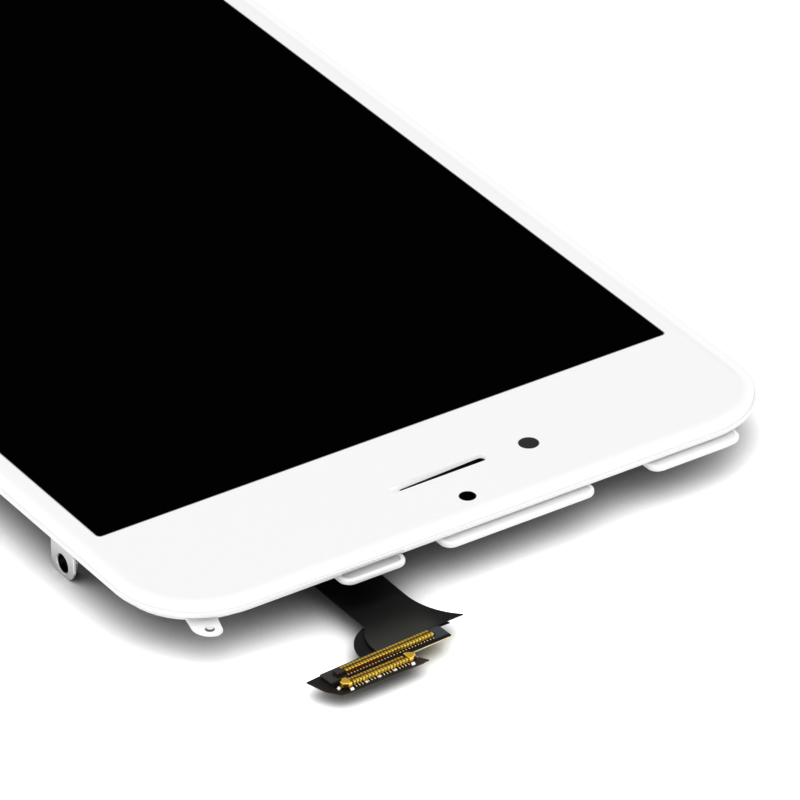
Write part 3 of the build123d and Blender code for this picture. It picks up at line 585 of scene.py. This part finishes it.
# %% Layers of the panel
panel_glass_finish = plain_finish(
    "panel glass", grain, (0.012, 0.013, 0.014), 0.05, 0.2, 0.2 * micron,
    Scale=600.0, Spread=0.03, Coat_Weight=1.0,
)
sensor_glass_finish = plain_finish(
    "touch sensor glass", grain, (0.020, 0.022, 0.023), 0.06, 0.2, 0.2 * micron, Scale=500.0, Spread=0.03
)
polarizer_finish = plain_finish(
    "polarizer film", grain, (0.006, 0.006, 0.008), 0.22, 0.3, 0.4 * micron, Scale=2500.0, Spread=0.08
)
adhesive_finish = plain_finish(
    "clear adhesive", grain, (0.010, 0.010, 0.011), 0.12, 0.2, 0.6 * micron, Scale=900.0, Spread=0.06
)
silicon_finish = plain_finish(
    "silicon chip", lines, (0.09, 0.09, 0.10), 0.20, 0.20, 0.4 * micron,
    Stretch=(300.0, 9000.0, 9000.0), Spread=0.08, Metallic=0.4,
)
dress(panel_glass_finish, "colour_filter", "tft_glass")
dress(sensor_glass_finish, "touch_sensor")
dress(polarizer_finish, "front_polarizer", "rear_polarizer")
dress(adhesive_finish, "optical_adhesive")
dress(silicon_finish, "driver_chip")

# %% Backlight films, guide and leds
prism_finish = plain_finish(
    "prism film", lines, (0.80, 0.81, 0.82), 0.24, 0.06, 2.0 * micron,
    Stretch=(200.0, 14000.0, 200.0), Spread=0.08,
)
cross_prism_finish = plain_finish(
    "crossed prism film", lines, (0.80, 0.81, 0.82), 0.24, 0.06, 2.0 * micron,
    Stretch=(14000.0, 200.0, 200.0), Spread=0.08,
)
diffuser_finish = plain_finish(
    "diffuser film", grain, (0.86, 0.86, 0.86), 0.62, 0.05, 1.5 * micron, Scale=9000.0, Spread=0.1
)
guide_finish = plain_finish(
    "light guide plastic", grain, (0.80, 0.84, 0.85), 0.10, 0.05, 0.6 * micron, Scale=3200.0, Spread=0.05
)
reflector_finish = plain_finish(
    "reflector film", grain, (0.88, 0.88, 0.90), 0.14, 0.03, 0.4 * micron,
    Scale=1500.0, Spread=0.06, Metallic=0.6,
)
led_finish = plain_finish(
    "led body and phosphor", grain, (0.85, 0.74, 0.22), 0.50, 0.25, 1.5 * micron, Scale=1800.0, Spread=0.15
)
dress(prism_finish, "upper_prism_film")
dress(cross_prism_finish, "lower_prism_film")
dress(diffuser_finish, "diffuser_film")
dress(guide_finish, "light_guide")
dress(reflector_finish, "reflector_film")
dress(led_finish, *(name for name in sorted(nodes) if name.startswith("led_") and name != "led_strip"))

# %% [markdown]
# ## Behind the border
#
# Rings of black plastic keep stray light from the camera and the sensor, and
# a foam gasket seals the earpiece against its slot. Black tape covers the
# display circuit behind the tray.

# %% Rings, gasket and tape
ring_black = plain_finish(
    "black ring plastic", grain, (0.014, 0.014, 0.014), 0.42, 0.3, 2.0 * micron, Scale=4000.0, Spread=0.15
)
# Above the slot's line the black gasket is painted white with a glow: painted light on a wall in shade.
gasket_finish = slot_finish("black gasket foam", (0.010, 0.010, 0.010), 0.85, 0.5, 14.0 * micron, 3600.0)
tape_finish = plain_finish(
    "black insulating tape", grain, (0.012, 0.012, 0.012), 0.46, 0.3, 2.0 * micron, Scale=2400.0, Spread=0.16
)
dress(ring_black, "camera_ring", "sensor_ring")
dress(gasket_finish, "earpiece_gasket")
dress(tape_finish, "rear_tape")

# %% [markdown]
# ## Flexible circuits
#
# A flexible circuit is a copper pattern between thin films, covered in black
# ink. The tracks lift the film a little and show as faint lines along the
# ribbon. Towards its connector the touch circuit is a softer dark grey. Its
# board turns bluish at one end and has a dark brown strip beside the
# connector. The display circuit is black too, and bare brown film at one tip
# of its board. Painting these changes would need the ribbons unwrapped, so
# they are masks on the coordinates. The touch board lies a few degrees off
# the screen's axes, so a Mapping node turns the coordinates with it, and its
# own masks are measured along and across it.

# %% Touch circuit
# Middle of each connector's board in mm, its turn in degrees and its level in mm
touch_board = (16.60, 77.19, 3.5, -3.05)
display_board = (18.50, 78.72, 2.6, -3.35)
clear_white = (1.0, 1.0, 1.0, 1.0)
ribbon_black = (0.0008, 0.0008, 0.0008, 1.0)
wing_black = (0.0075, 0.0075, 0.0070, 1.0)
board_grey = (0.040, 0.041, 0.036, 1.0)
board_blue = (0.044, 0.052, 0.063, 1.0)
board_brown = (0.0075, 0.0048, 0.0030, 1.0)

touch_finish, tree, shader, place = start_material("touch circuit film", IOR=1.45, Specular_IOR_Level=0.08)
base = use_group(
    tree, grain, Vector=place, Scale=2600.0, Colour=clear_white, Shade=0.35, Roughness=0.42, Spread=0.2
)
spot = put(tree, "ShaderNodeSeparateXYZ", Vector=place).outputs
on_board = put(
    tree, "ShaderNodeMapping", vector_type="TEXTURE", Vector=place,
    Location=(touch_board[0] * mm, touch_board[1] * mm, 0), Rotation=(0, 0, math.radians(touch_board[2])),
)
board_spot = put(tree, "ShaderNodeSeparateXYZ", Vector=on_board.outputs[0]).outputs
outward = shade_in(tree, spot["Y"], 71.0 * mm, 77.4 * mm)
wing = together(
    tree, "MULTIPLY", shade_in(tree, spot["X"], 11.5 * mm, 9.5 * mm),
    shade_in(tree, spot["Y"], 71.0 * mm, 73.5 * mm),
)
blue_end = together(
    tree, "MULTIPLY", shade_in(tree, board_spot["X"], -3.6 * mm, -5.6 * mm),
    shade_in(tree, spot["Y"], 75.9 * mm, 76.3 * mm),
)
near_strip = shade_in(tree, board_spot["Y"], 0.58 * mm, 0.66 * mm)
tone = blend(tree, outward, ribbon_black, board_grey)
for mask, colour in ((wing, wing_black), (blue_end, board_blue), (near_strip, board_brown)):
    tone = blend(tree, mask, tone, colour)
tone = blend(tree, 1.0, tone, base["Colour"], "MULTIPLY")
satin = together(tree, "MULTIPLY", base["Roughness"], ramp(tree, outward, 0.0, 1.0, 0.85, 1.1))
tracks = put(
    tree, "ShaderNodeTexWave", wave_type="BANDS", bands_direction="X", Vector=place,
    Scale=700.0, Distortion=1.5,
)
lift = put(tree, "ShaderNodeBump", Height=tracks.outputs["Fac"], Strength=0.6, Distance=6.0 * micron)
bump = surface(tree, shader, tone, satin, base["Height"], 1.0 * micron)
tree.links.new(lift.outputs["Normal"], bump.inputs["Normal"])
dress(touch_finish, "touch_flex", "led_strip")

# %% Display circuit
circuit_black = (0.004, 0.004, 0.004, 1.0)
circuit_brown = (0.0095, 0.0070, 0.0045, 1.0)
film_brown = (0.045, 0.022, 0.016, 1.0)

display_flex_finish, tree, shader, place = start_material(
    "display circuit film", IOR=1.45, Specular_IOR_Level=0.15
)
base = use_group(
    tree, grain, Vector=place, Scale=1500.0, Colour=clear_white, Shade=0.9, Roughness=0.40, Spread=0.2
)
spot = put(tree, "ShaderNodeSeparateXYZ", Vector=place).outputs
outward = shade_in(tree, spot["Y"], 76.0 * mm, 78.2 * mm)
tip = together(tree, "MULTIPLY", outward, shade_in(tree, spot["X"], 16.2 * mm, 13.6 * mm))
tone = blend(tree, tip, blend(tree, outward, circuit_black, circuit_brown), film_brown)
tone = blend(tree, 1.0, tone, base["Colour"], "MULTIPLY")
surface(tree, shader, tone, base["Roughness"], base["Height"], 2.0 * micron)
dress(display_flex_finish, "display_flex")

# %% [markdown]
# ## Connectors
#
# Each connector is a ridge of dark resin that carries two rows of gold
# plated strips. Gold is a metal, so its colour is in its reflections. The
# feet of the strips are painted dark up to a level, a painted shade by the
# board, and the low faces of the touch strips get a painted orange shade
# towards one end. Both are masks on the place, so one helper makes the gold
# of both connectors.

# %% Connector finishes
gold_colour = (1.0, 0.66, 0.085, 1.0)
painted_foot_shade = (0.020, 0.009, 0.004, 1.0)
painted_low_face_shade = (0.30, 0.10, 0.012, 1.0)
resin_finish = plain_finish(
    "dark connector resin", grain, (0.016, 0.006, 0.004), 0.38, 0.3, 1.0 * micron, Scale=5000.0, Spread=0.15
)


def gold_plate(name, board_level, low_face_shade_strength):
    """Gold with painted shade on its feet, and a painted orange shade on low faces towards one end."""
    made, tree, shader, place = start_material(name, Metallic=1.0)
    plate = use_group(
        tree, grain, Vector=place, Scale=6000.0, Colour=gold_colour, Shade=0.06, Roughness=0.34, Spread=0.06
    )
    spot = put(tree, "ShaderNodeSeparateXYZ", Vector=place).outputs
    # Painted shade: dark feet by the board, and orange low faces towards one end.
    shaded_foot = shade_in(tree, spot["Z"], (board_level + 0.13) * mm, (board_level + 0.09) * mm)
    low = shade_in(tree, spot["Z"], (board_level + 0.44) * mm, (board_level + 0.34) * mm)
    shade_end = shade_in(tree, spot["X"], 15.6 * mm, 18.0 * mm)
    low_face_shade = together(tree, "MULTIPLY", together(tree, "MULTIPLY", low, shade_end), low_face_shade_strength)
    look = blend(tree, low_face_shade, blend(tree, shaded_foot, plate["Colour"], painted_foot_shade), painted_low_face_shade)
    tree.links.new(look, shader.inputs["Base Color"])
    tree.links.new(plate["Roughness"], shader.inputs["Roughness"])
    return made


touch_gold = gold_plate("gold plate of the touch contacts", touch_board[3], 0.85)
display_gold = gold_plate("gold plate of the display contacts", display_board[3], 0.0)
solder_finish = plain_finish(
    "bright solder", grain, (0.88, 0.88, 0.89), 0.36, 0.20, 2.0 * micron,
    Scale=5200.0, Spread=0.25, Metallic=1.0,
)
dress(resin_finish, "touch_connector_housing", "display_connector_housing")
dress(touch_gold, "touch_connector_contacts")
dress(display_gold, "display_connector_contacts", "hold_down_left", "hold_down_right")
dress(solder_finish, "display_solder_joints")

# %% [markdown]
# ## Solder tails
#
# Every contact ends in a small tail soldered to the board. On the touch
# connector the tails show as round dots, on the display connector as short
# bars. Each tail is a beveled cube, and a row of them has the pitch of the
# contacts. An Array modifier could repeat one tail too, but two turned rows
# are placed more plainly by a matrix for each cube.

# %% Solder tails
contact_pitch = 0.32 * mm
contact_edge = 0.38 * mm
touch_tail_size = (0.11 * mm, 0.10 * mm, 0.12 * mm)
touch_tail_reach = contact_edge + 0.15 * mm
display_tail_size = (0.11 * mm, 0.26 * mm, 0.12 * mm)
display_tail_reach = contact_edge + 0.17 * mm
tail_finish = plain_finish(
    "tinned tail", grain, (0.80, 0.74, 0.68), 0.45, 0.15, 1.0 * micron,
    Scale=6000.0, Spread=0.2, Metallic=0.3,
)


def board_frame(x, y, turn, level):
    """The place of a connector's middle on the top of its board."""
    return Matrix.Translation((x * mm, y * mm, level * mm)) @ Matrix.Rotation(math.radians(turn), 4, "Z")


def solder_tails(name, place, count, size, reach, finish):
    """Two rows of small soldered tails, half a pitch out of step."""
    made = bmesh.new()
    for side in (1, -1):
        for index in range(count):
            x = side * ((index - (count - 1) / 2) * contact_pitch - contact_pitch / 4)
            spot = place @ Matrix.Translation((x, side * reach, size[2] / 2)) @ Matrix.Diagonal((*size, 1.0))
            bmesh.ops.create_cube(made, size=1.0, matrix=spot)
    bmesh.ops.bevel(
        made, geom=made.edges[:], offset=0.25 * min(size), affect="EDGES", segments=2,
        profile=0.5, material=-1,
    )
    bmesh.ops.recalc_face_normals(made, faces=made.faces[:])
    mesh = bpy.data.meshes.new(name)
    made.to_mesh(mesh)
    made.free()
    mesh.materials.append(finish)
    piece = bpy.data.objects.new(name, mesh)
    bpy.context.scene.collection.objects.link(piece)
    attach(piece, "root")
    print(name, "faces", len(mesh.polygons))


display_place = board_frame(*display_board)
solder_tails(
    "touch_solder_tails", board_frame(*touch_board), 29, touch_tail_size, touch_tail_reach, tail_finish
)
solder_tails(
    "display_solder_tails", display_place, 18, display_tail_size, display_tail_reach, solder_finish
)

# %% [markdown]
# Three of the display connector's tails carry more solder than the others. Each
# is a low dome: the upper part of a ball, pressed flat and set over its tail.
# The lower part is hidden in the board, so it needn't be cut away.

# %% Solder domes
dome_places = (1.55, 0.23, -1.40)
dome_size = (0.22 * mm, 0.30 * mm, 0.20 * mm)
dome_level = 0.04 * mm
dome_finish = plain_finish(
    "heaped solder", grain, (0.95, 0.95, 0.94), 0.35, 0.10, 1.0 * micron, Scale=5200.0, Spread=0.15
)
made = bmesh.new()
for along in dome_places:
    spot = display_place @ Matrix.Translation((along * mm, display_tail_reach, dome_level))
    bmesh.ops.create_uvsphere(
        made, u_segments=20, v_segments=12, radius=0.5, matrix=spot @ Matrix.Diagonal((*dome_size, 1.0))
    )
bmesh.ops.recalc_face_normals(made, faces=made.faces[:])
for face in made.faces:
    face.smooth = True
dome_mesh = bpy.data.meshes.new("solder_domes")
made.to_mesh(dome_mesh)
made.free()
dome_mesh.materials.append(dome_finish)
domes = bpy.data.objects.new("solder_domes", dome_mesh)
bpy.context.scene.collection.objects.link(domes)
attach(domes, "root")
print("domes", len(dome_places), "faces", len(dome_mesh.polygons))

# %% [markdown]
# ## Floor
#
# The photograph was exposed until its white ground went pure white, and only
# the shadow close to the screen is left. The floor is plain white paint.
# Stronger lamps would bleach the screen's white parts as well, so the floor
# alone is raised, for the camera and in reflections. That leaves the shadow
# its shape, and the narrow gaps under the screen are deepened with painted
# shade from an occlusion mask. The light that the floor throws back onto the
# screen isn't raised.

# %% Floor
floor_level = solids_low.z
floor_reach = 3.0
floor_white = (0.92, 0.92, 0.92, 1.0)
floor_exposure = 1.95
shadow_depth = 0.95
shadow_reach = 15.0 * mm
floor_mesh = bpy.data.meshes.new("floor")
made = bmesh.new()
bmesh.ops.create_grid(
    made, x_segments=1, y_segments=1, size=floor_reach, matrix=Matrix.Translation((0, 0, floor_level))
)
made.to_mesh(floor_mesh)
made.free()
floor = bpy.data.objects.new("floor", floor_mesh)
bpy.context.scene.collection.objects.link(floor)

floor_paint, tree, shader, place = start_material("white floor", Roughness=0.9, Specular_IOR_Level=0.0)
paint = use_group(tree, grain, Vector=place, Scale=40.0, Colour=floor_white, Shade=0.01)["Colour"]
tree.links.new(paint, shader.inputs["Base Color"])
path = put(tree, "ShaderNodeLightPath").outputs
seen = together(tree, "MAXIMUM", path["Is Camera Ray"], path["Is Transmission Ray"])
seen = together(tree, "MAXIMUM", seen, path["Is Glossy Ray"])
# Painted shade: an occlusion mask darkens the floor near and under the screen.
open_sky = put(tree, "ShaderNodeAmbientOcclusion", Distance=shadow_reach, samples=16)
deepened = together(tree, "POWER", open_sky.outputs["AO"], shadow_depth)
raised = times(tree, paint, together(tree, "MULTIPLY", deepened, floor_exposure))
exposed = put(tree, "ShaderNodeBsdfDiffuse", Color=raised)
both = put(tree, "ShaderNodeMixShader", Fac=seen)
tree.links.new(shader.outputs["BSDF"], both.inputs[1])
tree.links.new(exposed.outputs["BSDF"], both.inputs[2])
output = next(node for node in tree.nodes if node.type == "OUTPUT_MATERIAL")
tree.links.new(both.outputs[0], output.inputs["Surface"])
floor_mesh.materials.append(floor_paint)
print("floor at", round(floor_level / mm, 3))

# %% [markdown]
# ## Light
#
# The screen lies in a light tent: white from every side, so that its white
# parts show hardly any shading. The tent has one dark gap with a soft edge,
# where the flat display mirrors it to the camera, and the display stays black
# as it does in the photograph. A black card would do the same but would also
# shade the floor, so the gap is a mask on the world's strength. A panel
# overhead and a small one beside the camera add a little direction.

# %% Light
def soft_panel(name, place, width, height, power):
    """A rectangular area lamp aimed at the middle of the screen."""
    data = bpy.data.lights.new(name, "AREA")
    data.shape = "RECTANGLE"
    data.size = width
    data.size_y = height
    data.energy = power
    lamp = bpy.data.objects.new(name, data)
    lamp.location = place
    lamp.rotation_mode = "QUATERNION"
    lamp.rotation_quaternion = (-Vector(place)).to_track_quat("-Z", "Y")
    bpy.context.scene.collection.objects.link(lamp)
    print(name, power, "W")


soft_panel("overhead panel", (0.0, 0.02, 1.0), 2.0, 2.0, 4.2)
soft_panel("camera side panel", (1.1, 1.5, 0.5), 1.2, 0.8, 3.0)

tent_strength = 0.875
gap_start = math.cos(math.radians(16.0))
gap_full = math.cos(math.radians(9.0))
mirror_way = Vector((-back.x, -back.y, back.z))
world = bpy.data.worlds.new("light tent")
world.use_nodes = True
tree = world.node_tree
background = tree.nodes["Background"]
background.inputs["Color"].default_value = (1.0, 1.0, 1.0, 1.0)
ray = put(tree, "ShaderNodeTexCoord").outputs["Object"]
facing = between(tree, "DOT_PRODUCT", ray, mirror_way)
gap = put(
    tree, "ShaderNodeMapRange", interpolation_type="SMOOTHSTEP", Value=facing,
    From_Min=gap_start, From_Max=gap_full, To_Min=tent_strength, To_Max=0.0,
)
tree.links.new(gap.outputs[0], background.inputs["Strength"])
bpy.context.scene.world = world
bpy.context.scene.view_settings.view_transform = "Standard"
print("tent", tent_strength, "with a gap towards", [round(v, 3) for v in mirror_way])
